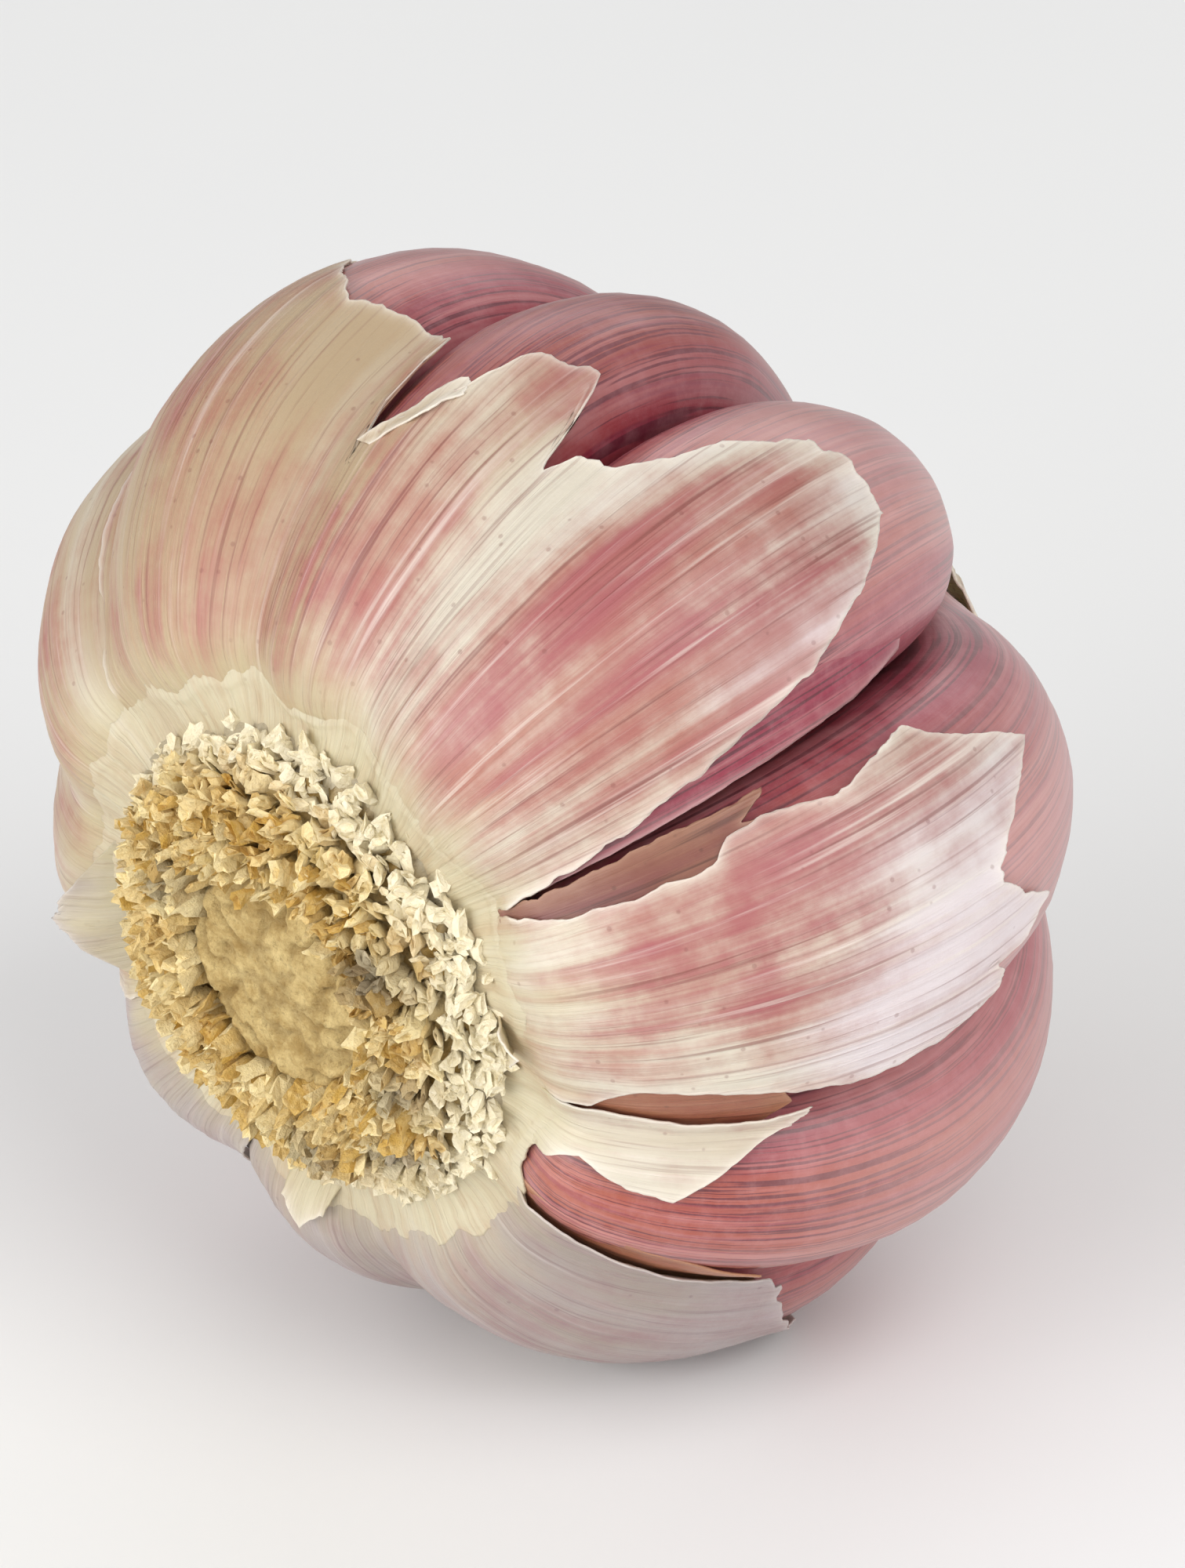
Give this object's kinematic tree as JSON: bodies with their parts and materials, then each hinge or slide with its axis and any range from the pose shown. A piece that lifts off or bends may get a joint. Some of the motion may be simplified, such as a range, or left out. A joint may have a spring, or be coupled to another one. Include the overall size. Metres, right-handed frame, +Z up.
{
  "type": "garlic bulb",
  "caption": "Hardneck garlic bulb lying on its side: pink cloves round a stalk, a root plate with trimmed roots, torn papery wrapper leaves and a short cut neck.",
  "frame": {"origin": "on the surface that the bulb lies on, under the middle of its bounding box", "axes": "+Z up; the stalk lies in the YZ plane, nearly level, with the root plate towards -Y and a little lower, and the cut neck towards +Y"},
  "size_m": [0.0474, 0.0398, 0.0452],
  "materials": {
    "clove_skin": "satin",
    "papery_leaf": "satin",
    "neck_leaf": "matte",
    "stalk": "matte",
    "root": "matte"
  },
  "bodies": {
    "root": {"clove_01": "clove_skin", "clove_02": "clove_skin", "clove_03": "clove_skin", "clove_04": "clove_skin", "clove_05": "clove_skin", "clove_06": "clove_skin", "clove_07": "clove_skin", "clove_08": "clove_skin", "clove_09": "clove_skin", "clove_10": "clove_skin", "wrapper_leaf_1": "papery_leaf", "wrapper_leaf_2": "papery_leaf", "wrapper_leaf_3": "papery_leaf", "wrapper_leaf_4": "papery_leaf", "wrapper_leaf_5": "papery_leaf", "wrapper_leaf_6": "papery_leaf", "neck_sheath": "neck_leaf", "flower_stalk": "stalk", "root_plate": "root"}
  },
  "joints": []
}
